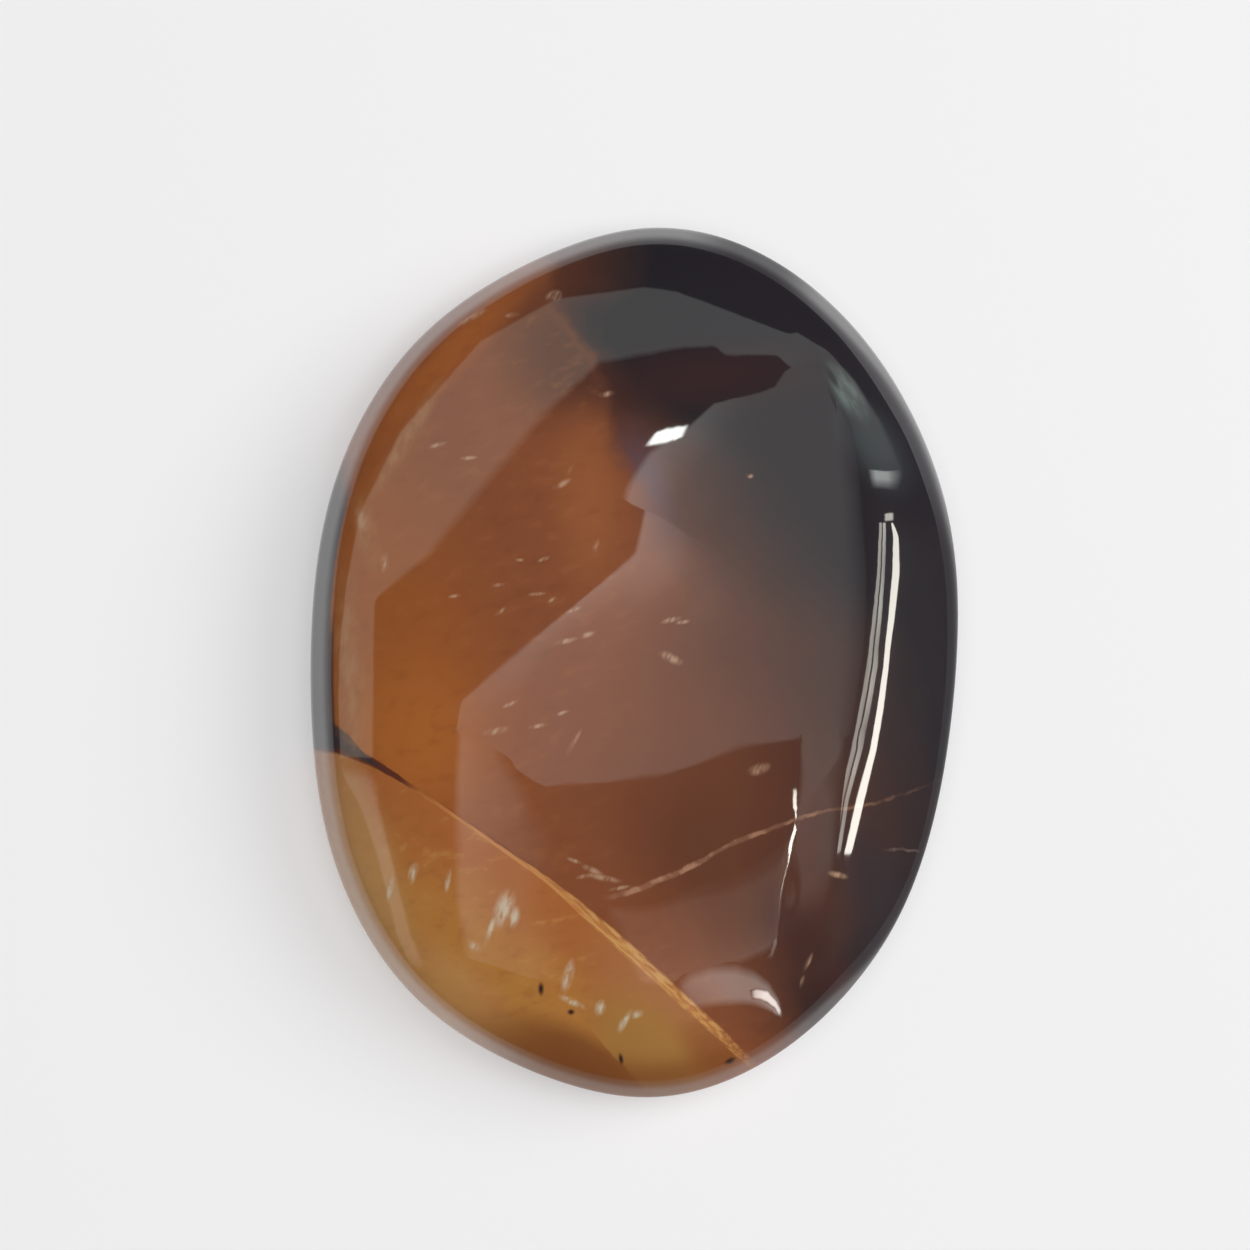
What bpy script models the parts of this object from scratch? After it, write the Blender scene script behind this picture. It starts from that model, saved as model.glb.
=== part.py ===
"""A polished tiger's eye: one solid stone, an oval dome on a flat ground back.

Metres, +Z up. The stone lies on its back. +Y is its long axis and +X its short one. The origin is under
the middle of the stone's box, on the surface that the stone lies on.

The stone is shaped the way it was ground. An oval is cut, its rim is ground steep, its top is domed, and
a few flats are ground into the dome along one side. Each ground surface is described by how far a ray
from the stone's heart goes before it meets that surface. The stone ends at the nearest one, and polishing
has rounded the edges between them.
"""

import bpy
import numpy as np

# The oval seen from above: an ellipse that leans to one side, with four straighter stretches. Each of
# those has the direction that it faces and its distance from the heart.
HALF_WIDTH = 0.01540
HALF_LENGTH = 0.02031
LEAN = np.radians(-2.5)
STRETCHES = (
    (np.radians(180.0), 0.01547),
    (np.radians(116.0), 0.01951),
    (np.radians(247.0), 0.01999),
    (np.radians(354.0), 0.01537),
)
OVAL_SHARPNESS = 20.0

# The heart is in the plane of the girdle, which is the stone's widest line. The dome rises from it.
GIRDLE_HEIGHT = 0.0024
DOME_RISE = 0.0056
DOME_ROUNDNESS = 2.4
DOME_OVERHANG = 0.0002

# The rim leans in above the girdle, and stands steeper on the side of the bevel, where the steepening is
# a power of the cosine of the turn away from that side. The undercut leans in below the girdle.
RIM_SLOPE = np.tan(np.radians(68.0))
RIM_STEEPENING = 1.9
BEVEL_SIDE = np.radians(-5.0)
BEVEL_SPREAD = 5.0
UNDERCUT_SLOPE = np.tan(np.radians(54.0))

# Each flat has the direction that it faces, its slope, one point on it as a distance from the heart and
# a height above the girdle, and how wide its edge is rounded. The first is a shallow one with a crisp
# edge, at the lower end of the bevel. The other three make the bevel along the right side.
FLATS = (
    (np.radians(-25.0), np.radians(24.0), 0.00948, 0.00500, 0.00006),
    (np.radians(22.5), np.radians(41.0), 0.01370, 0.00370, 0.0010),
    (np.radians(-5.0), np.radians(41.0), 0.01125, 0.00415, 0.0010),
    (np.radians(-17.5), np.radians(41.0), 0.01122, 0.00422, 0.0010),
)

# How wide the other edges are rounded, and how far inside the girdle the flat back ends.
GIRDLE_ROUNDING = 0.0014
RIM_ROUNDING = 0.0005
BACK_ROUNDING = 0.0020
BACK_INSET = 0.0034

# The mesh: points around each row, rows under the girdle and rows above it.
AROUND = 72
ROWS_UNDER = 7
ROWS_ABOVE = 24

FAR_AWAY = 1.0
STONE_COLOUR = (0.22, 0.075, 0.03, 1.0)
POLISH_ROUGHNESS = 0.12
QUARTZ_IOR = 1.544


def oval_radius(angle):
    """The girdle's distance from the heart. The ellipse and the stretches meet in a high-power sum."""
    turned = angle - LEAN
    ellipse = np.hypot(np.cos(turned) / HALF_WIDTH, np.sin(turned) / HALF_LENGTH)
    total = ellipse**OVAL_SHARPNESS
    for facing, distance in STRETCHES:
        total = total + np.maximum(np.cos(angle - facing) / distance, 0.0) ** OVAL_SHARPNESS
    return total ** (-1.0 / OVAL_SHARPNESS)


def nearest(first, second, rounding):
    """The smaller of two distances, eased by a cubic where they differ by less than the rounding."""
    share = np.maximum(rounding - np.abs(first - second), 0.0) / rounding
    return np.minimum(first, second) - share**3 * rounding / 6.0


def reach_of_flat(ray, facing, slope, distance, height):
    """How far a ray goes before it meets a tilted plane: the plane's offset over the ray's part along
    the plane's normal. A ray that never meets it gets a long way."""
    across = np.array([np.cos(facing), np.sin(facing), 0.0])
    normal = across * np.sin(slope) + np.array([0.0, 0.0, np.cos(slope)])
    offset = distance * np.sin(slope) + height * np.cos(slope)
    return offset / np.maximum(ray @ normal, offset / FAR_AWAY)


def reach(ray, angle):
    """How far each ray from the heart goes before it leaves the stone."""
    out = np.hypot(ray[..., 0], ray[..., 1])
    rise = ray[..., 2]
    oval = oval_radius(angle) + GIRDLE_ROUNDING / 6.0

    sideways = (out / (oval + DOME_OVERHANG)) ** DOME_ROUNDNESS
    upwards = (np.maximum(rise, 0.0) / DOME_RISE) ** DOME_ROUNDNESS
    top = (sideways + upwards) ** (-1.0 / DOME_ROUNDNESS)
    for facing, slope, distance, height, rounding in FLATS:
        top = nearest(top, reach_of_flat(ray, facing, slope, distance, height), rounding)

    rim_slope = RIM_SLOPE + RIM_STEEPENING * np.maximum(np.cos(angle - BEVEL_SIDE), 0.0) ** BEVEL_SPREAD
    rim = oval / np.maximum(out + rise / rim_slope, oval / FAR_AWAY)
    undercut = oval / np.maximum(out - rise / UNDERCUT_SLOPE, oval / FAR_AWAY)
    side = nearest(rim, undercut, GIRDLE_ROUNDING)
    back = GIRDLE_HEIGHT / np.maximum(-rise, GIRDLE_HEIGHT / FAR_AWAY)
    return nearest(nearest(side, top, RIM_ROUNDING), back, BACK_ROUNDING)


def rows_of_points():
    """Points on the skin, row by row, from the edge of the flat back round the girdle to the crown."""
    angle = np.linspace(0.0, 2 * np.pi, AROUND, endpoint=False)
    under = np.linspace(np.pi / 2, 0.0, ROWS_UNDER, endpoint=False)[:, None]
    above = np.linspace(0.0, np.pi / 2, ROWS_ABOVE, endpoint=False)[:, None]
    oval = oval_radius(angle)
    out = np.vstack([oval - BACK_INSET * (1.0 - np.cos(under)), oval * np.cos(above)])
    up = np.vstack([-GIRDLE_HEIGHT * np.sin(under), DOME_RISE * np.sin(above)])
    aim = np.stack([out * np.cos(angle), out * np.sin(angle), up + 0.0 * angle], axis=-1)
    ray = aim / np.linalg.norm(aim, axis=-1, keepdims=True)
    points = ray * reach(ray, angle)[..., None]
    points[0, :, 2] = -GIRDLE_HEIGHT
    return points


def stone_mesh():
    """The rows joined into a closed skin. The back is one flat face, and the crown is a fan."""
    rows = rows_of_points()
    straight_up = np.array([0.0, 0.0, 1.0])
    crown = straight_up * reach(straight_up, 0.0)
    points = np.vstack([rows.reshape(-1, 3), crown])
    middle = (points.min(axis=0) + points.max(axis=0)) / 2
    points -= [middle[0], middle[1], -GIRDLE_HEIGHT]

    here = np.arange(AROUND)
    after = np.roll(here, -1)
    faces = [here[::-1].tolist()]
    for row in range(len(rows) - 1):
        low = row * AROUND
        high = low + AROUND
        faces += np.stack([low + here, low + after, high + after, high + here], axis=1).tolist()
    last = (len(rows) - 1) * AROUND
    faces += [[last + near, last + far, len(points) - 1] for near, far in zip(here, after)]

    mesh = bpy.data.meshes.new("stone")
    mesh.from_pydata(points.tolist(), [], faces)
    mesh.polygons.foreach_set("use_smooth", [False] + [True] * (len(faces) - 1))
    return mesh


def polished_stone():
    """Brown banded quartz, opaque and polished."""
    material = bpy.data.materials.new("polished_stone")
    material.use_nodes = True
    surface = material.node_tree.nodes["Principled BSDF"]
    surface.inputs["Base Color"].default_value = STONE_COLOUR
    surface.inputs["Roughness"].default_value = POLISH_ROUGHNESS
    surface.inputs["Metallic"].default_value = 0.0
    surface.inputs["IOR"].default_value = QUARTZ_IOR
    return material


def build():
    for old in list(bpy.data.objects):
        bpy.data.objects.remove(old)
    stone = bpy.data.objects.new("stone", stone_mesh())
    stone.data.materials.append(polished_stone())
    bpy.context.scene.collection.objects.link(stone)


build()
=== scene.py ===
"""A polished tiger's eye on a pale table, seen from straight above. Metres, +Z up.

One oval stone of banded quartz lies on its flat back. The solid model gives its box. The skin made here
follows the same ground surfaces more finely and replaces the solid.
"""

import bpy
import numpy as np
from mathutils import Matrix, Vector


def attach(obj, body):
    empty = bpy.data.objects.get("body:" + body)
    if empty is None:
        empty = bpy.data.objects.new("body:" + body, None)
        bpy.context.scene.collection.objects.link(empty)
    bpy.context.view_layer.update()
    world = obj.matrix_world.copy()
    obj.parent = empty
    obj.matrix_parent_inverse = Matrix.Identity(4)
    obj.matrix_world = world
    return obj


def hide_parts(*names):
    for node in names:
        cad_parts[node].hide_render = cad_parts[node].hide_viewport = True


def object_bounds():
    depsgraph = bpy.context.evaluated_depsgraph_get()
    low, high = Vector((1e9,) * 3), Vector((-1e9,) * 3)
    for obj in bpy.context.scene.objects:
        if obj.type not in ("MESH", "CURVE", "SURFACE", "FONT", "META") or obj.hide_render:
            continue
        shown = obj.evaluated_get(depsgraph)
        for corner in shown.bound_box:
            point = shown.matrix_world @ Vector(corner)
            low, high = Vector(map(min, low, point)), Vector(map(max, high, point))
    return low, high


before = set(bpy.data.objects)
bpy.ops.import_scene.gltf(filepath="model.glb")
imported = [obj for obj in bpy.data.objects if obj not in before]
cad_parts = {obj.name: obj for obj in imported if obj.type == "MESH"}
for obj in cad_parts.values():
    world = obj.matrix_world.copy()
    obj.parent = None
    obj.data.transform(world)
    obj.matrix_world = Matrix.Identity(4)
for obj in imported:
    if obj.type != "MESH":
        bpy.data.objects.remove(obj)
solid_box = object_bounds()


# The camera looks straight down at the table from a hand's length above it. A pixel of its frame covers
# PIXEL of the plane of the girdle, and the marks on the stone are placed by such pixels.
CAMERA_HEIGHT = 0.18
GIRDLE_HEIGHT = 0.0024
FRAME_PIXELS = 1250
PIXEL = 0.046340e-3
ORIGIN_PIXEL = np.array([634.0, 662.3])
middle = (FRAME_PIXELS / 2 - ORIGIN_PIXEL) * [PIXEL, -PIXEL]
eye = np.array([*middle, CAMERA_HEIGHT])

camera_data = bpy.data.cameras.new("camera")
camera_data.sensor_width = 36.0
camera_data.lens = 36.0 * (CAMERA_HEIGHT - GIRDLE_HEIGHT) / (FRAME_PIXELS * PIXEL)
camera = bpy.data.objects.new("camera", camera_data)
camera.location = eye
bpy.context.scene.collection.objects.link(camera)
bpy.context.scene.camera = camera


# The stone's skin. It is solid quartz, ground on a wheel and then polished: an oval with a steep rim, a
# low dome, a bevel of three flats down its right side, one shallow flat beside that, and a flat back.
HALF_WIDTH = 0.01540
HALF_LENGTH = 0.02031
LEAN = np.radians(-2.5)
STRETCHES = (
    (np.radians(180.0), 0.01547),
    (np.radians(116.0), 0.01951),
    (np.radians(247.0), 0.01999),
    (np.radians(354.0), 0.01537),
)
OVAL_SHARPNESS = 20.0

DOME_RISE = 0.0056
DOME_ROUNDNESS = 2.4
DOME_OVERHANG = 0.0002
RIM_SLOPE = np.tan(np.radians(68.0))
RIM_STEEPENING = 1.9
BEVEL_SIDE = np.radians(-5.0)
BEVEL_SPREAD = 5.0
UNDERCUT_SLOPE = np.tan(np.radians(54.0))
FLATS = (
    (np.radians(-25.0), np.radians(24.0), 0.00948, 0.00500, 0.00006),
    (np.radians(22.5), np.radians(41.0), 0.01370, 0.00370, 0.0010),
    (np.radians(-5.0), np.radians(41.0), 0.01125, 0.00415, 0.0010),
    (np.radians(-17.5), np.radians(41.0), 0.01122, 0.00422, 0.0010),
)
GIRDLE_ROUNDING = 0.0014
RIM_ROUNDING = 0.0005
BACK_ROUNDING = 0.0020
BACK_INSET = 0.0034
FAR_AWAY = 1.0
WAVES = ((1050, 520, 0.0, 1.0), (-640, 760, 1.0, 1.0), (1900, -1300, 0.0, 0.6))
WAVE_SINK = 1.6
WAVE_HEIGHT = 4e-6
WAVE_START = 0.002
CROWN_SINK = 6e-6

AROUND = 480
ROWS_UNDER = 36
ROWS_ABOVE = 150


def oval_radius(angle):
    """The girdle's distance from the heart. A leaning ellipse and four straight stretches meet in a
    high-power sum: (ellipse^s + the sum of max(cos(angle - facing) / distance, 0)^s)^(-1/s)."""
    turned = angle - LEAN
    ellipse = np.hypot(np.cos(turned) / HALF_WIDTH, np.sin(turned) / HALF_LENGTH)
    total = ellipse**OVAL_SHARPNESS
    for facing, distance in STRETCHES:
        total = total + np.maximum(np.cos(angle - facing) / distance, 0.0) ** OVAL_SHARPNESS
    return total ** (-1.0 / OVAL_SHARPNESS)


def nearest(first, second, rounding):
    """The smaller of two distances, less a cubic where they differ by under the rounding:
    min(a, b) - max(1 - |a - b| / w, 0)^3 w / 6."""
    share = np.maximum(rounding - np.abs(first - second), 0.0) / rounding
    return np.minimum(first, second) - share**3 * rounding / 6.0


def reach_of_flat(ray, facing, slope, distance, height):
    """How far a ray goes to a tilted plane: the plane's offset over the ray's part along its normal."""
    across = np.array([np.cos(facing), np.sin(facing), 0.0])
    normal = across * np.sin(slope) + np.array([0.0, 0.0, np.cos(slope)])
    offset = distance * np.sin(slope) + height * np.cos(slope)
    return offset / np.maximum(ray @ normal, offset / FAR_AWAY)


def reach(ray, angle):
    """How far a ray goes from the stone's heart: the nearest of a dome that is a superellipse in profile,
    its flats, a cone for the rim, a cone for the undercut, and the plane of the back."""
    out = np.hypot(ray[..., 0], ray[..., 1])
    rise = ray[..., 2]
    oval = oval_radius(angle) + GIRDLE_ROUNDING / 6.0

    sideways = (out / (oval + DOME_OVERHANG)) ** DOME_ROUNDNESS
    upwards = (np.maximum(rise, 0.0) / DOME_RISE) ** DOME_ROUNDNESS
    top = (sideways + upwards) ** (-1.0 / DOME_ROUNDNESS)
    for facing, slope, distance, height, rounding in FLATS:
        top = nearest(top, reach_of_flat(ray, facing, slope, distance, height), rounding)

    rim_slope = RIM_SLOPE + RIM_STEEPENING * np.maximum(np.cos(angle - BEVEL_SIDE), 0.0) ** BEVEL_SPREAD
    rim = oval / np.maximum(out + rise / rim_slope, oval / FAR_AWAY)
    undercut = oval / np.maximum(out - rise / UNDERCUT_SLOPE, oval / FAR_AWAY)
    side = nearest(rim, undercut, GIRDLE_ROUNDING)
    back = GIRDLE_HEIGHT / np.maximum(-rise, GIRDLE_HEIGHT / FAR_AWAY)
    return nearest(nearest(side, top, RIM_ROUNDING), back, BACK_ROUNDING)


def hand_wobble(points):
    """How far a hand-held polish strays above the girdle: long waves, a few micrometres high, each its
    share of sin(p x + q y + start)."""
    x, y, z = np.moveaxis(points, -1, 0)
    waves = sum(share * np.sin(p * x + q * y + start) for p, q, start, share in WAVES)
    return -WAVE_HEIGHT * (WAVE_SINK + waves) * np.clip(z / WAVE_START, 0.0, 1.0)


def skin_points():
    """The skin on a grid of rays, row by row from the edge of the flat back to just below the crown."""
    angle = np.linspace(0.0, 2 * np.pi, AROUND, endpoint=False)
    under = np.linspace(np.pi / 2, 0.0, ROWS_UNDER, endpoint=False)[:, None]
    above = np.linspace(0.0, np.pi / 2, ROWS_ABOVE, endpoint=False)[:, None]
    oval = oval_radius(angle)
    out = np.vstack([oval - BACK_INSET * (1.0 - np.cos(under)), oval * np.cos(above)])
    up = np.vstack([-GIRDLE_HEIGHT * np.sin(under), DOME_RISE * np.sin(above)])
    aim = np.stack([out * np.cos(angle), out * np.sin(angle), up + 0.0 * angle], axis=-1)
    ray = aim / np.linalg.norm(aim, axis=-1, keepdims=True)
    points = ray * reach(ray, angle)[..., None]
    points += ray * hand_wobble(points)[..., None]
    points[0, :, 2] = -GIRDLE_HEIGHT
    return points


rows = skin_points()
straight_up = np.array([0.0, 0.0, 1.0])
crown = straight_up * (reach(straight_up, 0.0) - CROWN_SINK)
skin = np.vstack([rows.reshape(-1, 3), crown])
lowest, highest = (np.array(corner) for corner in solid_box)
solid_middle = (lowest + highest)[:2] / 2
skin_middle = (skin.min(axis=0) + skin.max(axis=0))[:2] / 2
heart = np.array([*(solid_middle - skin_middle), GIRDLE_HEIGHT])
skin += heart

here = np.arange(AROUND)
after = np.roll(here, -1)
low = np.arange(len(rows) - 1)[:, None] * AROUND
corners = [low + here, low + after, low + AROUND + after, low + AROUND + here]
quads = np.stack(corners, axis=-1).reshape(-1, 4)
last = (len(rows) - 1) * AROUND
cap = np.stack([last + here, last + after, np.full(AROUND, len(skin) - 1)], axis=1)
mesh = bpy.data.meshes.new("tigers_eye")
mesh.from_pydata(skin.tolist(), [], [here[::-1].tolist(), *quads.tolist(), *cap.tolist()])
mesh.shade_smooth()
stone = bpy.data.objects.new("tigers_eye", mesh)
bpy.context.scene.collection.objects.link(stone)


class Wire:
    """An output socket in a material. Arithmetic on it adds Math nodes to the same tree."""

    def __init__(self, socket):
        self.socket = socket

    def node(self, kind, settings, inputs, output=0):
        """Adds a node of this kind. Its settings come first, with a ramp's stops as (place, colour) or a
        curve's points as (along, height), and then a value or a wire for each socket."""
        tree = self.socket.id_data
        made = tree.nodes.new(kind)
        for name, value in settings.items():
            if name == "stops":
                stops = made.color_ramp.elements
                for number, (where, colour) in enumerate(value):
                    stop = stops[number] if number < 2 else stops.new(where)
                    stop.position = where
                    stop.color = (*colour, 1.0)
            elif name == "points":
                points = made.mapping.curves[0].points
                for number, where in enumerate(value):
                    points[number].location = where if number < 2 else points.new(*where).location
                made.mapping.update()
            else:
                setattr(made, name, value)
        for name, value in inputs.items():
            if isinstance(value, Wire):
                tree.links.new(value.socket, made.inputs[name])
            else:
                made.inputs[name].default_value = value
        return Wire(made.outputs[output])

    def maths(self, operation, *values):
        """Adds a Math node with this operation on these values."""
        return self.node("ShaderNodeMath", {"operation": operation}, dict(enumerate(values)))

    def __add__(self, other):
        return self.maths("ADD", self, other)

    def __radd__(self, other):
        return self.maths("ADD", other, self)

    def __sub__(self, other):
        return self.maths("SUBTRACT", self, other)

    def __rsub__(self, other):
        return self.maths("SUBTRACT", other, self)

    def __mul__(self, other):
        return self.maths("MULTIPLY", self, other)

    def __rmul__(self, other):
        return self.maths("MULTIPLY", other, self)

    def __truediv__(self, other):
        return self.maths("DIVIDE", self, other)

    def __rtruediv__(self, other):
        return self.maths("DIVIDE", other, self)

    def __abs__(self):
        return self.maths("ABSOLUTE", self)

    def rise(self, start, end):
        """0 up to start and 1 from end on, with a smooth step between. It falls where start is the
        larger."""
        low, high, first, last = (start, end, 0.0, 1.0) if start < end else (end, start, 1.0, 0.0)
        span = {"Value": self, "From Min": low, "From Max": high, "To Min": first, "To Max": last}
        return self.node("ShaderNodeMapRange", {"interpolation_type": "SMOOTHSTEP"}, span)

    def tint(self, first, second):
        """The first colour where this share is 0 and the second where it is 1. A Mix node takes its two
        colours at inputs 6 and 7, and gives the mixed one at output 2."""
        pair = [colour if isinstance(colour, Wire) else (*colour, 1.0) for colour in (first, second)]
        return self.node("ShaderNodeMix", {"data_type": "RGBA"}, {0: self, 6: pair[0], 7: pair[1]}, 2)

    def or_more(self, other):
        """The larger of two values."""
        return self.maths("MAXIMUM", self, other)


# The stone's colour. The upper part is orange-brown on the left and darkens to black on the right. A thin
# yellow seam crosses the lower left, and the quartz below it is golden. Marks are placed by pixels of the
# frame: across and down are the pixel at which the camera sees a place on the skin.
MILLIMETRES = 1000.0
material = bpy.data.materials.new("polished_tigers_eye")
material.use_nodes = True
surface = material.node_tree.nodes["Principled BSDF"]
place = Wire(material.node_tree.nodes.new("ShaderNodeTexCoord").outputs["Object"])
place = place.node("ShaderNodeVectorMath", {"operation": "SCALE"}, {0: place, "Scale": MILLIMETRES})
x, y, z = (place.node("ShaderNodeSeparateXYZ", {}, {0: place}, axis) for axis in range(3))
nearer = MILLIMETRES * (CAMERA_HEIGHT - GIRDLE_HEIGHT) / (MILLIMETRES * CAMERA_HEIGHT - z)
across = FRAME_PIXELS / 2 + (x - MILLIMETRES * middle[0]) * nearer / (MILLIMETRES * PIXEL)
down = FRAME_PIXELS / 2 - (y - MILLIMETRES * middle[1]) * nearer / (MILLIMETRES * PIXEL)
drawing = place.node("ShaderNodeCombineXYZ", {}, {0: across, 1: down, 2: 1.0})


def noise(size, detail=2.0, stretch=1.0, turn=0.0):
    """Smooth noise from 0 to 1 in three dimensions. Its grains are size millimetres long and stretch
    times narrower, and turn is the angle at which they rise to the right."""
    spread = (size, size / stretch, size / stretch)
    lie = {"Vector": place, "Rotation": (0.0, 0.0, np.radians(turn)), "Scale": spread}
    grain = place.node("ShaderNodeMapping", {"vector_type": "TEXTURE"}, lie)
    return place.node("ShaderNodeTexNoise", {}, {"Vector": grain, "Scale": 1.0, "Detail": detail})


def follow(along, course):
    """The height of a smooth course over each place along it, all in pixels of the frame."""
    points = [(first / FRAME_PIXELS, second / FRAME_PIXELS) for first, second in course]
    points = [points[0], points[-1], *points[1:-1]]
    share = along.node("ShaderNodeFloatCurve", {"points": points}, {"Value": along / FRAME_PIXELS})
    return share * FRAME_PIXELS


def patch(middle_across, middle_down, long, wide, turn=0.0, soft=0.6):
    """A soft oval mark, 1 inside and 0 outside: the distance from its middle, counted in radii. Long and
    wide are its radii in pixels, and turn is the angle at which it rises to the right."""
    lean = np.radians(turn)
    squares = []
    for leg, radius in (((np.cos(lean), -np.sin(lean)), long), ((np.sin(lean), np.cos(lean)), wide)):
        start = -leg[0] * middle_across - leg[1] * middle_down
        weights = (leg[0] / radius, leg[1] / radius, start / radius)
        dot = {"operation": "DOT_PRODUCT"}
        along = drawing.node("ShaderNodeVectorMath", dot, {0: drawing, 1: weights}, 1)
        squares.append(along * along)
    return drawing.maths("SQRT", squares[0] + squares[1]).rise(1.0 + soft, 1.0 - soft)


ragged = noise(3.0, 4.0) - 0.5
fine = noise(0.7, 3.0) - 0.5
wander = 45 * ragged + 14 * fine

# The upper quartz. Orange-brown meets plain brown along one course, crisp at the top and soft lower down,
# and the brown fades through maroon to black to the right of another. Each course gives the place across
# for a place down, and each change gives how wide the step is there.
ORANGE = (0.370, 0.108, 0.024)
RUST = (0.250, 0.077, 0.030)
TONGUE = (
    (220, 545), (300, 548), (380, 598), (430, 612), (480, 630), (560, 668), (640, 655), (720, 640),
    (800, 620), (930, 690), (1090, 760),
)
TONGUE_CHANGE = (
    (220, 30), (300, 20), (400, 26), (480, 36), (560, 90), (640, 170), (800, 170), (1090, 150),
)
FADE = (
    (220, 525), (285, 535), (320, 540), (380, 572), (480, 612), (560, 650), (640, 700), (720, 705),
    (800, 735), (880, 735), (950, 738), (1090, 735),
)
FADE_CHANGE = (
    (220, 120), (285, 120), (330, 60), (380, 80), (480, 170), (560, 185), (640, 215), (720, 230),
    (800, 220), (880, 200), (950, 150), (1090, 130),
)
BROWN_TO_BLACK = (
    (0.0, (0.132, 0.044, 0.022)),
    (1.0, (0.0170, 0.0138, 0.0180)),
    (0.25, (0.100, 0.034, 0.020)),
    (0.5, (0.065, 0.026, 0.0185)),
    (0.75, (0.035, 0.020, 0.0195)),
)
fade = (across + wander - follow(down, FADE)) / follow(down, FADE_CHANGE)
upper = fade.node("ShaderNodeValToRGB", {"stops": BROWN_TO_BLACK}, {0: fade})
tongue = (across + wander - follow(down, TONGUE)) / follow(down, TONGUE_CHANGE)
left_of_tongue = tongue.rise(0.5, -0.5)
upper = left_of_tongue.tint(upper, RUST)

# Soft clouds of colour in it, each with its patch, its share and its shade. Some are cut off by the edge
# of the orange-brown. The mauve one is a painted reflection.
BARK = (0.080, 0.030, 0.020)
BRIGHT_ORANGE = (0.450, 0.140, 0.027)
MAROON = (0.042, 0.0165, 0.0165)
ORANGE_STREAK = (0.400, 0.115, 0.026)
LIGHT_RUST = (0.380, 0.125, 0.040)
OXBLOOD = (0.052, 0.018, 0.0145)
MAUVE_REFLECTION = (0.155, 0.116, 0.170)
VIOLET_BLACK = (0.030, 0.022, 0.027)
UPPER_CLOUDS = (
    ((572, 348, 62, 62, -40, 0.8), left_of_tongue * 0.85, BARK),
    ((405, 690, 85, 175, 12, 0.8), 0.9, ORANGE),
    ((345, 560, 40, 200, -12, 0.7), 0.6, ORANGE),
    ((402, 745, 62, 70, 0, 0.8), 0.9, BRIGHT_ORANGE),
    ((690, 378, 105, 28, 6, 0.7), 0.7, MAROON),
    ((445, 358, 110, 17, 46, 0.8), left_of_tongue * 0.8, ORANGE_STREAK),
    ((588, 500, 26, 70, 4, 0.8), tongue.rise(0.5, -0.3) * 0.5, LIGHT_RUST),
    ((812, 955, 24, 66, 35, 0.7), 0.8, OXBLOOD),
    # Painted reflection: a mauve veil at the left edge of the mirrored middle panel.
    ((634, 515, 30, 65, 0, 0.8), tongue.rise(-0.3, 0.5) * 0.45, MAUVE_REFLECTION),
    ((680, 745, 75, 60, 10, 0.8), 0.2, RUST),
    ((880, 900, 26, 70, 20, 0.7), 0.7, VIOLET_BLACK),
)
for cloud, share, shade in UPPER_CLOUDS:
    upper = (patch(*cloud) * share).tint(upper, shade)

LIGHT_GRAIN = (0.40, 0.150, 0.050)
DARK_GRAIN = (0.165, 0.045, 0.016)
grain = noise(1.1, 6.0, 2.0, 20.0)
grained = tongue.rise(0.2, -0.6) * 0.22
upper = (grain.rise(0.52, 0.75) * grained).tint(upper, LIGHT_GRAIN)
upper = (grain.rise(0.48, 0.25) * grained).tint(upper, DARK_GRAIN)

# The lower quartz: gold, and amber next to the seam, with an umber patch and an olive one that meet in a
# crisp edge at the bottom, and an umber rim. Beside_seam is the distance below the seam, in pixels.
GOLD = (0.520, 0.225, 0.050)
AMBER = (0.430, 0.138, 0.036)
OLIVE = (0.430, 0.205, 0.052)
UMBER = (0.250, 0.080, 0.022)
PALE_GOLD = (0.60, 0.30, 0.085)
CHESTNUT = (0.32, 0.105, 0.028)
STRAW_REFLECTION = (0.620, 0.370, 0.160)
BRIGHT_GOLD = (0.640, 0.330, 0.120)
SAND = (0.440, 0.205, 0.090)
SEAM = (
    (300, 740), (335, 746), (380, 768), (420, 793), (460, 819), (500, 847), (540, 875), (580, 907),
    (620, 943), (660, 979), (700, 1016), (745, 1060),
)
ACROSS_SEAM = 0.77
AMBER_TO_GOLD = (10.0, 110.0)
UMBER_SLANT = 0.35
UMBER_START = (790.0, 900.0)
UMBER_SHOULDER = (5.9, 5.2)
beside_seam = (down - follow(across, SEAM)) * ACROSS_SEAM + 5 * ragged + 2 * fine
lower = (beside_seam + 60 * ragged).rise(*AMBER_TO_GOLD).tint(AMBER, GOLD)
lower = (noise(1.8, 5.0).rise(0.45, 0.8) * 0.6).tint(lower, AMBER)
lower = (grain.rise(0.55, 0.75) * 0.4).tint(lower, PALE_GOLD)
lower = (grain.rise(0.48, 0.25) * 0.35).tint(lower, CHESTNUT)
OLIVE_EDGE = 441
olive_side = (across - down + OLIVE_EDGE + 10 * ragged + 4 * fine).rise(-2.5, 2.5)
LOWER_CLOUDS = (
    # Painted reflection: a straw streak along the band where the polish mirrors the low panel on the left.
    ((362, 850, 24, 115, 18, 0.7), 0.5, STRAW_REFLECTION),
    ((455, 990, 62, 26, -42, 0.7), 0.5, BRIGHT_GOLD),
    ((672, 1000, 80, 40, -38, 0.8), 0.6, SAND),
    ((582, 1056, 72, 22, -26, 0.6), (1.0 - olive_side) * 0.9, UMBER),
    ((648, 1050, 66, 38, -42, 0.5), olive_side, OLIVE),
    ((712, 1050, 34, 20, -43, 0.7), 0.6, UMBER),
)
for cloud, share, shade in LOWER_CLOUDS:
    lower = (patch(*cloud) * share).tint(lower, shade)
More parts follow.
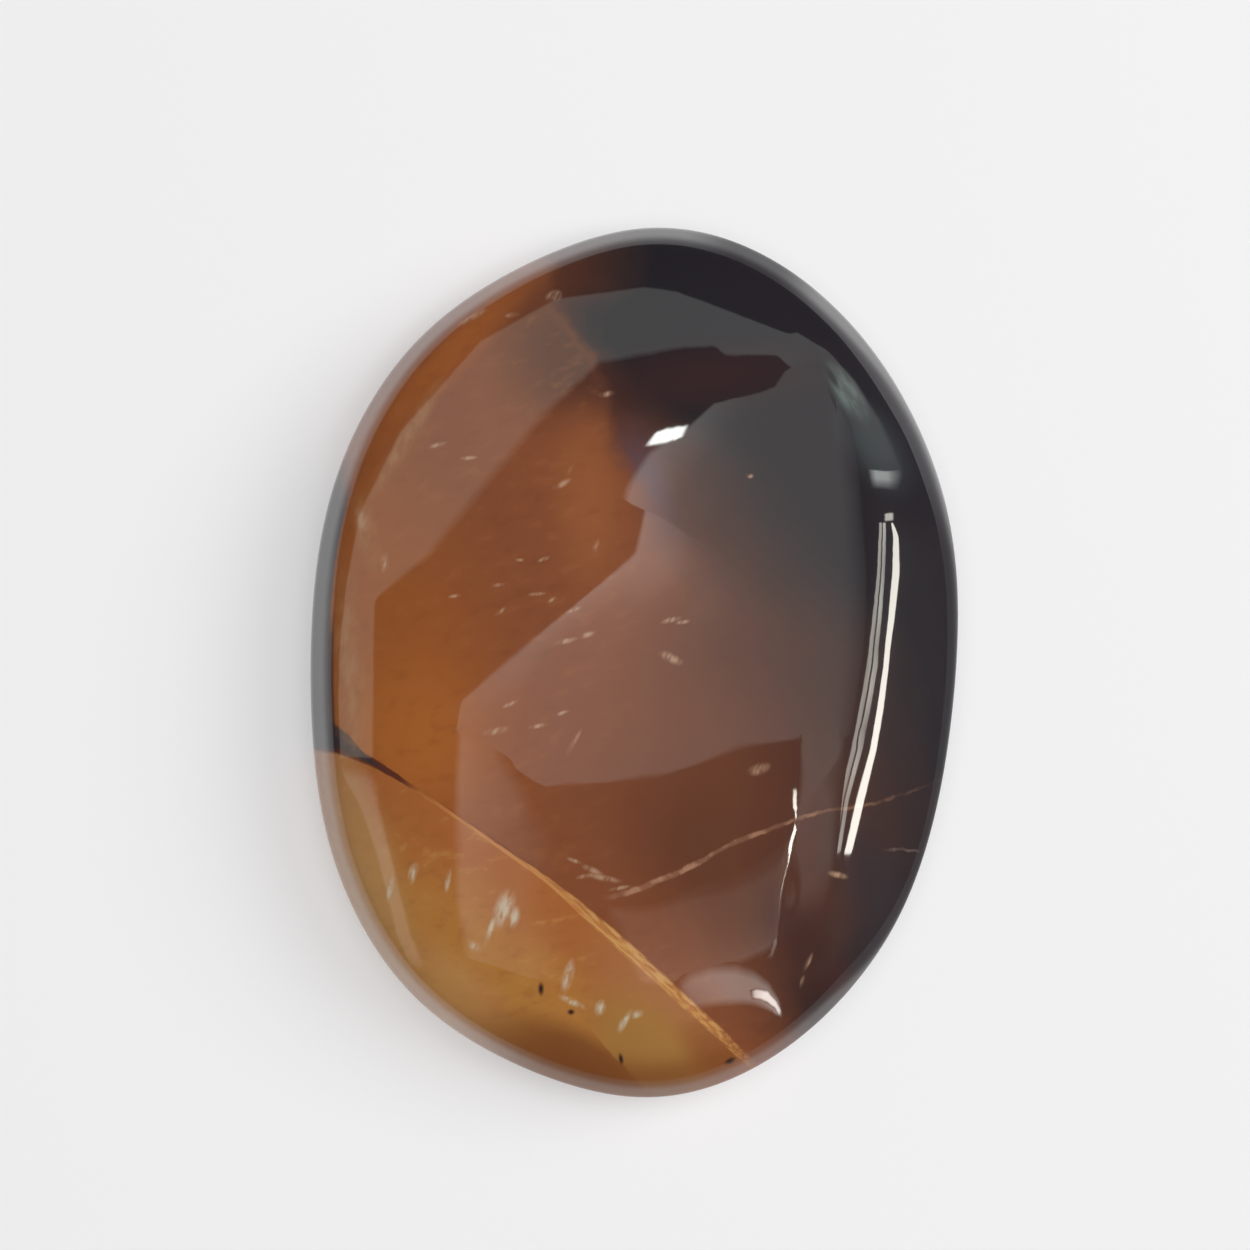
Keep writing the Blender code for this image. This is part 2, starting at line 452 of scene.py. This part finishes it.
right_of_foot = (across + UMBER_SLANT * down).rise(*UMBER_START)
lower = (z.rise(*UMBER_SHOULDER) * right_of_foot * 0.7).tint(lower, UMBER)

colour = beside_seam.rise(-1.5, 1.5).tint(upper, lower)

# The seam itself: dark where it starts at the rim, with a slate wedge above it, then a thread of yellow
# that thickens to two strands. A dark line edges the thread where it is thin, and a brown one follows the
# shoulder of the rim above the seam's start. Each start or end is the stretch across over which a part
# comes or goes.
YOLK = (0.65, 0.35, 0.115)
HONEY = (0.60, 0.250, 0.075)
SLATE = (0.034, 0.031, 0.040)
DARK_RED = (0.120, 0.032, 0.016)
RIM_BROWN = (0.040, 0.024, 0.028)
THREAD_THICKNESS = ((300, 1), (420, 1.5), (520, 2.0), (560, 3.4), (600, 5.4), (680, 5.4), (745, 4.5))
DARK_THICKNESS = ((300, 8), (335, 7), (376, 3.6), (405, 2.2), (440, 1.2), (1250, 1))
WEDGE_THICKNESS = ((300, 12), (335, 8.5), (352, 6), (362, 3.0), (376, 1.3), (395, 1), (1250, 1))
THREAD_START = (395.0, 470.0)
YOLK_START = (530.0, 610.0)
THREAD_END = (770.0, 690.0)
EDGE_LINE_START = (400.0, 560.0)
EDGE_LINE_END = (560.0, 480.0)
DARK_END = (425.0, 398.0)
WEDGE_END = (392.0, 366.0)
RIM_LINE_PATCH = (332, 690, 26, 66, 0, 0.3)
RIM_LINE_UP = 5.35
RIM_LINE_WIDTH = 0.22
RIM_LINE_FOOT = 752
thickness = follow(across, THREAD_THICKNESS)
thread = (abs(beside_seam) / thickness).rise(1.35, 0.65)
streaks = noise(1.2, 4.0, 9.0, -43.0)
edge_line = abs(beside_seam + thickness + 1.2).rise(2.2, 0.7) * streaks.rise(0.35, 0.6)
edge_line = edge_line * across.rise(*EDGE_LINE_END) * across.rise(*EDGE_LINE_START)
colour = (edge_line * 0.6).tint(colour, DARK_RED)
thread = thread * across.rise(*THREAD_END)
colour = (thread * across.rise(*THREAD_START) * (0.6 + 0.4 * streaks.rise(0.35, 0.6))).tint(colour, HONEY)
colour = (thread * across.rise(*YOLK_START) * streaks.rise(0.42, 0.62)).tint(colour, YOLK)
dark_start = (abs(beside_seam + 1) / follow(across, DARK_THICKNESS)).rise(1.2, 0.7)
colour = (dark_start * across.rise(*DARK_END)).tint(colour, DARK_RED)
wedge = follow(across, WEDGE_THICKNESS)
wedge = (abs(beside_seam + wedge - 1) / wedge).rise(1.3, 0.8) * across.rise(*WEDGE_END)
colour = (wedge * 0.85).tint(colour, SLATE)
rim_line = (abs(z - RIM_LINE_UP) / RIM_LINE_WIDTH).rise(1.0, 0.3) * patch(*RIM_LINE_PATCH)
rim_line = rim_line * (down - RIM_LINE_FOOT).rise(2.0, -4.0)
colour = (rim_line * 0.85).tint(colour, RIM_BROWN)

# The crack across the brown: pale pink-tan, brightest in its middle and dotted where it runs out, with a
# short brown vein below its right end.
PINK = (0.46, 0.235, 0.140)
VEIN_BROWN = (0.20, 0.13, 0.11)
CRACK = (
    (0, 900), (610, 897), (625, 893), (660, 880), (700, 862), (730, 845), (790, 822), (820, 812),
    (850, 808), (885, 800), (920, 788), (1250, 780),
)
CRACK_WIDTH = ((0, 3.4), (640, 3.4), (780, 2.4), (930, 1.6), (1250, 1.0))
CRACK_START = (598.0, 640.0)
CRACK_END = (980.0, 640.0)
VEIN_DOWN = 850
VEIN_START = (882.0, 892.0)
VEIN_END = (922.0, 912.0)
off_crack = down - follow(across, CRACK) + 7 * fine
dots = noise(0.8, 4.0).rise(0.40, 0.62)
crack = (abs(off_crack) / follow(across, CRACK_WIDTH)).rise(1.3, 0.4)
crack = crack * across.rise(*CRACK_START) * across.rise(*CRACK_END)
colour = (crack * (0.30 + 0.70 * dots)).tint(colour, PINK)
vein = abs(down - VEIN_DOWN + 10 * fine).rise(2.2, 0.6)
vein = vein * across.rise(*VEIN_START) * across.rise(*VEIN_END)
colour = (vein * dots * 0.5).tint(colour, VEIN_BROWN)

# The rim on the left is nearly black above the seam.
DARK_RIM_PATCH = (322, 620, 34, 190, 0, 0.25)
DARK_RIM_SHOULDER = (5.4, 5.1)
DARK_RIM_FOOT = 748
dark_rim = z.rise(*DARK_RIM_SHOULDER) * patch(*DARK_RIM_PATCH) * (down - DARK_RIM_FOOT).rise(2.0, -2.0)
colour = dark_rim.tint(colour, SLATE)

# Flecks and glints: short pale dashes of clear quartz, whiter in the gold, and three painted highlights
# on the lower right. Each has its middle, half length, half width and rise.
PALE = (0.54, 0.33, 0.21)
WHITISH = (0.70, 0.62, 0.46)
FLECKS_AND_GLINTS = (
    (566, 641, 9, 2.0, 14), (587, 635, 6, 2.0, 20), (573, 610, 6, 1.6, 20), (562, 484, 7, 2.4, 30),
    (570, 470, 4, 1.5, 60), (500, 612, 5, 1.5, 40), (455, 596, 5, 1.4, 10), (520, 560, 3, 1.3, 0),
    # The dashes at (808, 962), (802, 982) and (838, 875) are painted highlights, not flecks.
    (552, 600, 4, 1.4, 30), (808, 962, 7, 1.8, 65), (802, 982, 5, 1.4, 72), (838, 875, 7, 2.4, -14),
    (498, 585, 5, 1.5, 10), (537, 594, 6, 1.5, 5), (544, 559, 5, 1.6, 20), (596, 546, 5, 2.0, 70),
    (607, 394, 6, 2.2, 10), (512, 315, 5, 2.0, 10), (469, 458, 6, 1.6, 5), (437, 445, 7, 1.8, 15),
    (671, 658, 9, 3.4, -25), (671, 620, 7, 2.0, 15), (683, 622, 5, 1.6, 10), (496, 731, 9, 2.6, 12),
    (510, 704, 6, 1.6, 25), (539, 726, 7, 1.7, 10), (574, 742, 10, 1.8, 60), (562, 713, 5, 1.5, 20),
    (554, 296, 6, 4.0, 20), (385, 562, 3.5, 8, 0), (361, 520, 4, 9, 15), (473, 317, 12, 2.0, 30),
    (592, 870, 9, 2.4, -25), (604, 878, 12, 2.4, -12), (586, 876, 8, 1.8, 10), (620, 888, 8, 1.6, 12),
    (575, 861, 6, 1.6, -20), (504, 909, 14, 7, 72), (514, 917, 8, 4, 80), (490, 930, 13, 2.4, 70),
    (413, 873, 8, 3.4, 75), (448, 881, 8, 2.0, 80), (475, 946, 6, 3.6, -30), (568, 976, 12, 4.0, 75),
    (572, 1002, 10, 2.6, -25), (625, 1021, 9, 3.0, 60), (637, 1014, 5, 3.0, 20), (600, 1008, 6, 4.0, 70),
    (390, 890, 9, 2.2, 80), (759, 769, 8, 4.0, 20), (750, 476, 2.5, 1.8, 0),
)


def marks(ovals, soft):
    """The largest share of any of these patches at each place."""
    together = patch(*ovals[0], soft=soft)
    for oval in ovals[1:]:
        together = together.or_more(patch(*oval, soft=soft))
    return together


grit = noise(0.9, 3.0, 3.5, 70.0)
fleck_and_glint_colour = beside_seam.rise(0.0, 25.0).tint(PALE, WHITISH)
colour = (marks(FLECKS_AND_GLINTS, 0.8) * (0.15 + 0.65 * grit.rise(0.36, 0.62))).tint(colour, fleck_and_glint_colour)

# Painted reflection: pale streaks near the rim on the left, along the band where the polish mirrors the
# panel on that side.
PALE_REFLECTION = (0.47, 0.255, 0.115)
PALE_REFLECTION_MARKS = ((366, 530, 9, 30, 12), (349, 665, 12, 80, 4), (405, 440, 7, 55, -32))
reflection_grain = noise(1.0, 5.0, 2.0, 80.0).rise(0.35, 0.65)
colour = (marks(PALE_REFLECTION_MARKS, 0.8) * (0.15 + 0.35 * reflection_grain)).tint(colour, PALE_REFLECTION)

# Painted reflection: a grey-green patch where the bevel starts at the top and a fainter one below it. One
# dark stroke.
JADE_REFLECTION = (0.150, 0.190, 0.172)
DIM_JADE_REFLECTION = (0.058, 0.070, 0.072)
STROKE = (0.010, 0.010, 0.012)
JADE_REFLECTION_PATCH = (847, 393, 26, 9, -57, 0.7)
DIM_JADE_REFLECTION_PATCH = (874, 446, 40, 20, -56, 0.8)
STROKE_PATCH = (832, 377, 13, 2.8, -60, 0.6)
jade_reflection = patch(*JADE_REFLECTION_PATCH) * (0.35 + 0.5 * noise(1.2, 4.0, 3.0, -60.0).rise(0.35, 0.65))
colour = jade_reflection.tint(colour, JADE_REFLECTION)
colour = (patch(*DIM_JADE_REFLECTION_PATCH) * 0.55).tint(colour, DIM_JADE_REFLECTION)
colour = (patch(*STROKE_PATCH) * 0.9).tint(colour, STROKE)

# Four dark specks in the gold.
SPECK = (0.05, 0.02, 0.012)
SPECKS = ((541, 989, 2.5, 5.5, 0), (571, 1012, 3, 2.5, 0), (621, 1059, 2, 5, 10), (730, 1061, 5, 2.5, 25))
for speck in SPECKS:
    colour = patch(*speck, soft=0.7).tint(colour, SPECK)
material.node_tree.links.new(colour.socket, surface.inputs["Base Color"])

# The finish: soft quartz under a mirror polish. The polish is turned down on the rim on the right, at the
# foot, and at one short stretch of the top: painted shade, so the rim mirrors less there and looks darker.
QUARTZ_IOR = 1.544
PAINTED_SHADE_SIDE = ((740.0, 810.0), (440.0, 560.0))
PAINTED_SHADE_FOOT = ((440.0, 560.0), (960.0, 1030.0))
PAINTED_SHADE_TOP_PATCH = (757, 258, 52, 34, -30, 0.6)
PAINTED_SHADE_SHOULDER = (5.6, 4.8)
PAINTED_SHADE_DEPTH = 0.7
surface.inputs["Roughness"].default_value = 0.36
surface.inputs["IOR"].default_value = QUARTZ_IOR
surface.inputs["Specular IOR Level"].default_value = 0.05
surface.inputs["Coat Roughness"].default_value = 0.02
surface.inputs["Coat IOR"].default_value = QUARTZ_IOR
painted_shade_side, painted_shade_foot = (across.rise(*rights) * down.rise(*lows) for rights, lows in (PAINTED_SHADE_SIDE, PAINTED_SHADE_FOOT))
painted_shade_rim = painted_shade_side.or_more(painted_shade_foot).or_more(patch(*PAINTED_SHADE_TOP_PATCH)) * z.rise(*PAINTED_SHADE_SHOULDER)
material.node_tree.links.new((1.0 - PAINTED_SHADE_DEPTH * painted_shade_rim).socket, surface.inputs["Coat Weight"])
mesh.materials.append(material)

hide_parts("stone")
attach(stone, "root")


# The table: a plain, pale, matt sheet that carries on past the view. It is lifted by a little light of
# its own, so that it stays pale without strong lamps.
TABLE_HALF = 1.5
TABLE_GREY = (0.55, 0.545, 0.55, 1.0)
WHITE = (1.0, 1.0, 1.0, 1.0)
TABLE_LIFT = 0.40
table_mesh = bpy.data.meshes.new("table")
corners = np.array([(-1, -1, 0), (1, -1, 0), (1, 1, 0), (-1, 1, 0)]) * TABLE_HALF
table_mesh.from_pydata(corners.tolist(), [], [(0, 1, 2, 3)])
table = bpy.data.objects.new("table", table_mesh)
bpy.context.scene.collection.objects.link(table)
paper = bpy.data.materials.new("pale_table")
paper.use_nodes = True
matt = paper.node_tree.nodes["Principled BSDF"]
matt.inputs["Base Color"].default_value = TABLE_GREY
matt.inputs["Roughness"].default_value = 0.9
matt.inputs["Specular IOR Level"].default_value = 0.1
matt.inputs["Emission Color"].default_value = WHITE
matt.inputs["Emission Strength"].default_value = TABLE_LIFT
table_mesh.materials.append(paper)


# The light on the table: two large soft lamps that the polish doesn't mirror, and a dim room.
ROOM_COLOUR = (0.92, 0.95, 1.0, 1.0)
ROOM_LIGHT = 0.06
bpy.context.scene.view_settings.view_transform = "Standard"
world = bpy.data.worlds.new("room")
world.use_nodes = True
world.node_tree.nodes["Background"].inputs["Color"].default_value = ROOM_COLOUR
world.node_tree.nodes["Background"].inputs["Strength"].default_value = ROOM_LIGHT
bpy.context.scene.world = world


def lamp(name, where, size, watts):
    """A round soft lamp aimed at the stone, size metres across."""
    data = bpy.data.lights.new(name, "AREA")
    data.shape = "DISK"
    data.size = size
    data.energy = watts
    made = bpy.data.objects.new(name, data)
    made.location = where
    towards = Vector((0.0, 0.0, GIRDLE_HEIGHT)) - made.location
    made.rotation_euler = towards.to_track_quat("-Z", "Y").to_euler()
    made.visible_glossy = False
    bpy.context.scene.collection.objects.link(made)


lamp("lamp_over", (0.05, 0.05, 0.80), 0.7, 3.3)
lamp("lamp_right", (0.45, 0.12, 0.42), 0.45, 2.4)


# Soft panels hang round the stone, each where the polish mirrors it to the camera at a chosen part of the
# dome. So their edges are given by the pixels of the frame at which they show. The ones that overlap
# others hang a little nearer.
PANEL_DISTANCE = 0.35
CREASE_PANEL = 0.345
NEAR_PANEL = 0.34
NEAREST_PANEL = 0.30
PLACES_ALONG = 64
PLACES_OVER = (0.2, 0.3, 0.45, 0.6, 0.75)
NEAR_SPOTS = 8
EVENNESS = 0.5
LOWEST_HANG = 0.004
upper_rows = rows[ROWS_UNDER:] + heart
around_leg = np.roll(upper_rows, -1, axis=1) - np.roll(upper_rows, 1, axis=1)
facing = np.cross(around_leg, np.gradient(upper_rows, axis=0)).reshape(-1, 3)
facing = facing / np.linalg.norm(facing, axis=1, keepdims=True)
spots = upper_rows.reshape(-1, 3)
nearness = (CAMERA_HEIGHT - GIRDLE_HEIGHT) / (CAMERA_HEIGHT - spots[:, 2:])
pixels = FRAME_PIXELS / 2 + (spots[:, :2] - middle) * nearness / [PIXEL, -PIXEL]
sight = eye - spots
sight = sight / np.linalg.norm(sight, axis=1, keepdims=True)
mirrored = 2 * (facing * sight).sum(axis=1, keepdims=True) * facing - sight


def seen_at(pixel, distance):
    """Where a line of sight through a pixel ends after the polish mirrors it: 2(n.v)n - v, followed from
    the skin for a distance. The skin's nearest spots are averaged by the inverse square."""
    square = ((pixels - pixel) ** 2).sum(axis=1)
    near = np.argpartition(square, NEAR_SPOTS)[:NEAR_SPOTS]
    weight = 1.0 / (square[near, None] + EVENNESS)
    return ((spots[near] + distance * mirrored[near]) * weight).sum(axis=0) / weight.sum()


def spread_along(edge, distance):
    """Evenly spaced places along a mirrored edge: its pixels, resampled by length, each followed to where
    its line of sight ends."""
    edge = np.array(edge, float)
    steps = np.concatenate([[0.0], np.linalg.norm(np.diff(edge, axis=0), axis=1).cumsum()])
    wanted = np.linspace(0.0, steps[-1], PLACES_ALONG)
    dense = np.stack([np.interp(wanted, steps, edge[:, axis]) for axis in range(2)], axis=1)
    return np.array([seen_at(pixel, distance) for pixel in dense])


def panel(name, edges, glow, colour, soft=(0.06, 0.06), soft_ends=0.0, part=(0.0, 1.0), fall=1.0,
          distance=PANEL_DISTANCE):
    """A soft panel between two edges, or over a part of the way from the first to the second, at a
    distance from the stone. Glow has a list of levels along each edge, and falls from the first to the
    second as (1 - over)^fall. It fades to nothing over the soft shares at its two edges, and over another
    share at its ends. The glow times the colour is kept on the panel's points."""
    first, second = (spread_along(edge, distance) for edge in edges)
    steps_over = [0.0, soft[0] / 2, soft[0], *PLACES_OVER, 1 - soft[1], 1 - soft[1] / 2, 1.0]
    over = np.sort(steps_over)[:, None]
    along = np.linspace(0.0, 1.0, PLACES_ALONG)[None, :]
    way = part[0] + over[..., None] * (part[1] - part[0])
    points = first * (1 - way) + second * way
    points[..., 2] = np.maximum(points[..., 2], LOWEST_HANG)
    fade = np.clip(np.minimum(over / soft[0], (1 - over) / soft[1]), 0.0, 1.0)
    if soft_ends:
        fade = fade * np.clip(np.minimum(along, 1 - along) / soft_ends, 0.0, 1.0)
    levels = [np.interp(along, np.linspace(0.0, 1.0, len(level)), level) for level in glow]
    strength = (levels[1] + (levels[0] - levels[1]) * (1 - over) ** fall) * fade

    index = np.arange(strength.size).reshape(strength.shape)
    corners = [index[:-1, :-1], index[:-1, 1:], index[1:, 1:], index[1:, :-1]]
    faces = np.stack(corners, axis=-1).reshape(-1, 4)
    made = bpy.data.meshes.new(name)
    made.from_pydata(points.reshape(-1, 3).tolist(), [], faces.tolist())
    shades = np.ones((strength.size, 4), np.float32)
    shades[:, :3] = strength.reshape(-1, 1) * colour
    made.attributes.new("glow", "FLOAT_COLOR", "POINT").data.foreach_set("color", shades.ravel())
    cloth = bpy.data.materials.new(name)
    cloth.use_nodes = True
    shade = Wire(cloth.node_tree.nodes.new("ShaderNodeAttribute").outputs["Color"])
    shade.socket.node.attribute_name = "glow"
    shine = shade.node("ShaderNodeEmission", {}, {"Color": shade})
    cloth.node_tree.links.new(shine.socket, cloth.node_tree.nodes["Material Output"].inputs["Surface"])
    made.materials.append(cloth)
    hung = bpy.data.objects.new(name, made)
    bpy.context.scene.collection.objects.link(hung)
    hung.visible_camera = False
    hung.visible_shadow = False
    hung.visible_diffuse = False


# The broad dim panels: down the left side, over the top, over the middle with its right margin, beside
# and below the middle one, and past the crease of the shallow flat.
STRAW_LIGHT = (1.0, 0.93, 0.80)
WARM = (1.0, 0.95, 0.90)
ROSE_LIGHT = (1.0, 0.88, 0.80)
COOL = (0.95, 1.0, 0.97)
SKY = (0.96, 0.94, 0.91)
CREAM = (1.0, 0.96, 0.87)
panel(
    "panel_left",
    edges=(
        [(340, 758), (338, 700), (340, 640), (345, 590), (352, 548), (360, 510), (400, 430), (480, 340),
         (555, 298)],
        [(374, 758), (375, 700), (375, 650), (376, 600), (385, 592), (430, 560), (480, 500), (545, 420),
         (600, 366)],
    ),
    glow=((1.15, 1.15), (1.15, 1.15)),
    colour=STRAW_LIGHT,
)
panel(
    "panel_left_low",
    edges=(
        [(338, 764), (345, 782), (359, 807), (374, 849), (385, 891), (395, 933), (411, 968)],
        [(374, 768), (378, 786), (381, 807), (391, 849), (401, 891), (412, 933), (428, 970)],
    ),
    glow=((1.1, 1.0, 1.0, 1.0, 1.0, 0.9, 0.6), (1.1, 1.2, 1.4, 1.4, 1.2, 1.1, 0.7)),
    colour=WARM,
    soft=(0.2, 0.2),
    soft_ends=0.06,
)
panel(
    "panel_top",
    edges=(
        [(555, 298), (644, 286), (675, 290), (713, 304), (790, 334), (796, 331), (828, 350), (857, 382),
         (884, 423), (906, 468)],
        [(600, 366), (649, 357), (682, 350), (716, 348), (726, 357), (777, 356), (787, 367), (810, 380),
         (845, 430), (868, 470)],
    ),
    glow=((0.95, 0.95, 0.95, 1.0, 1.0, 0.3), (0.95, 0.95, 0.95, 1.0, 0.3, 0.1)),
    colour=COOL,
)
panel(
    "panel_middle",
    edges=(
        [(800, 367), (787, 367), (772, 388), (713, 403), (686, 427), (648, 450), (624, 485), (621, 500),
         (644, 508), (633, 554), (596, 586), (505, 660), (460, 701), (455, 735)],
        [(838, 372), (842, 400), (844, 430), (846, 480), (848, 520), (850, 560), (850, 600), (846, 650),
         (842, 700), (838, 735), (793, 741), (754, 747), (657, 779), (545, 788), (510, 765)],
    ),
    glow=((0.9, 1.0, 2.2, 2.6, 2.8, 2.6, 2.1, 1.7, 1.1), (0.93, 0.93, 0.95, 1.0, 1.05)),
    colour=SKY,
    soft=(0.02, 0.03),
    fall=8.0,
)
panel(
    "panel_margin",
    edges=(
        [(836, 400), (839, 480), (843, 560), (843, 600), (839, 650), (835, 700), (831, 735)],
        [(848, 400), (860, 480), (866, 560), (867, 600), (864, 650), (856, 700), (850, 735)],
    ),
    glow=((0.93, 0.95), (0.1, 0.3)),
    colour=SKY,
    soft=(0.001, 0.02),
    distance=NEAR_PANEL,
)
panel(
    "panel_beside",
    edges=(
        [(456, 730), (453, 780), (452, 840), (454, 900), (462, 955)],
        [(511, 760), (530, 790), (560, 840), (578, 900), (575, 985)],
    ),
    glow=((1.4, 1.6, 1.4, 1.2, 0.8), (0.7, 0.5, 0.2, 0.3, 0.3)),
    colour=WARM,
    soft=(0.12, 0.3),
    distance=NEAR_PANEL,
)
panel(
    "panel_below",
    edges=(
        [(600, 905), (612, 930), (626, 960), (640, 985)],
        [(794, 823), (792, 850), (787, 880), (780, 908), (771, 952)],
    ),
    glow=((0.5, 0.65, 0.9), (0.7, 1.0, 1.2)),
    colour=ROSE_LIGHT,
    soft=(0.05, 0.015),
    soft_ends=0.07,
)
PAST_CREASE_GLOW = (1.0, 1.0, 0.9, 0.7, 0.4, 0.1)
panel(
    "panel_past_crease",
    edges=(
        [(800, 735), (799, 770), (797, 800), (794, 845), (787, 885), (778, 920)],
        [(846, 716), (846, 770), (842, 800), (838, 845), (834, 880), (826, 905)],
    ),
    glow=(PAST_CREASE_GLOW, PAST_CREASE_GLOW),
    colour=WARM,
    soft=(0.04, 0.3),
    distance=NEAR_PANEL,
)

# The small bright ones: a round one with a brighter heart at the foot, a soft patch and a small square
# high on the bevel, a thin streak along the crease, three strands down the bevel, and one near the top.
panel(
    "panel_foot",
    edges=(
        [(672, 985), (690, 968), (712, 962), (735, 962), (756, 970), (770, 982), (779, 998), (783, 1016)],
        [(690, 1012), (708, 1009), (725, 1007), (740, 1006), (752, 1006), (762, 1009), (772, 1013),
         (781, 1019)],
    ),
    glow=((1.4, 2.6, 3.2, 3.4, 3.2, 3.2, 4.0, 6.0), (0.8, 1.8, 2.2, 2.8, 3.0, 3.2, 3.6, 5.0)),
    colour=WARM,
    soft=(0.25, 0.25),
    soft_ends=0.08,
    distance=NEAR_PANEL,
)
panel(
    "panel_foot_bright",
    edges=(
        [(750, 990), (757, 988), (768, 990), (776, 1000), (782, 1013)],
        [(752, 999), (760, 1000), (767, 1003), (774, 1008), (780, 1017)],
    ),
    glow=((8.0, 16.0, 16.0, 12.0), (10.0, 16.0, 16.0, 12.0)),
    colour=WARM,
    soft=(0.25, 0.25),
    soft_ends=0.1,
    distance=NEAREST_PANEL,
)
panel(
    "panel_patch",
    edges=([(866, 450), (868, 470), (871, 490)], [(900, 455), (904, 474), (899, 492)]),
    glow=((3.6, 6.0, 6.0), (2.4, 4.4, 4.6)),
    colour=COOL,
    soft=(0.3, 0.3),
    soft_ends=0.3,
)
panel(
    "panel_square",
    edges=([(884, 513), (884, 522)], [(894, 512), (894, 521)]),
    glow=((9.0, 9.0), (9.0, 9.0)),
    colour=CREAM,
    soft=(0.2, 0.2),
    soft_ends=0.2,
)
CREASE_GLOW = (16.0, 24.0, 28.0, 14.0, 3.0, 1.5)
panel(
    "panel_crease",
    edges=(
        [(791, 788), (790, 806), (788, 845), (783, 885), (776, 911), (761, 960)],
        [(799, 788), (799, 806), (802, 845), (797, 885), (789, 911), (774, 960)],
    ),
    glow=(CREASE_GLOW, CREASE_GLOW),
    colour=CREAM,
    soft=(0.2, 0.2),
    soft_ends=0.02,
    part=(0.25, 0.75),
    distance=CREASE_PANEL,
)
INNER_STRANDS = (
    [(879, 523), (878, 550), (877, 573), (872, 618), (869, 645), (866, 667), (859, 708), (851, 749),
     (839, 799), (831, 851)],
    [(886, 523), (886, 550), (885, 573), (882, 618), (879, 645), (878, 667), (871, 708), (863, 749),
     (849, 799), (841, 851)],
)
panel(
    "window_inner",
    edges=INNER_STRANDS,
    glow=(
        (6.0, 7.5, 5.0, 7.0, 4.0, 6.5, 4.5, 6.0, 3.5, 5.5),
        (7.5, 5.0, 7.0, 4.5, 7.0, 4.0, 6.0, 4.0, 5.5, 4.5),
    ),
    colour=CREAM,
    soft=(0.15, 0.15),
    part=(0.0, 0.42),
)
panel(
    "window_between",
    edges=INNER_STRANDS,
    glow=(
        (9.5, 7.0, 9.0, 5.5, 8.5, 5.0, 8.0, 5.5, 7.0),
        (7.0, 4.0, 6.5, 4.5, 6.0, 3.0, 6.5, 4.5, 6.0),
    ),
    colour=CREAM,
    soft=(0.15, 0.15),
    part=(0.5, 1.0),
)
panel(
    "window_outer",
    edges=(
        [(891, 523), (893, 536), (892, 573), (888, 618), (885, 645), (883, 667), (877, 708), (870, 749),
         (856, 799), (844, 853)],
        [(893, 523), (899, 536), (900, 573), (895, 618), (891, 645), (889, 667), (884, 708), (877, 749),
         (865, 799), (852, 853)],
    ),
    glow=((15.0, 19.0), (15.0, 19.0)),
    colour=CREAM,
    soft=(0.1, 0.1),
)
panel(
    "panel_spot",
    edges=([(643, 447), (662, 445), (684, 438)], [(655, 432), (668, 427), (690, 424)]),
    glow=((26.0, 26.0), (26.0, 26.0)),
    colour=COOL,
    soft=(0.2, 0.2),
    soft_ends=0.15,
    distance=NEAREST_PANEL,
)
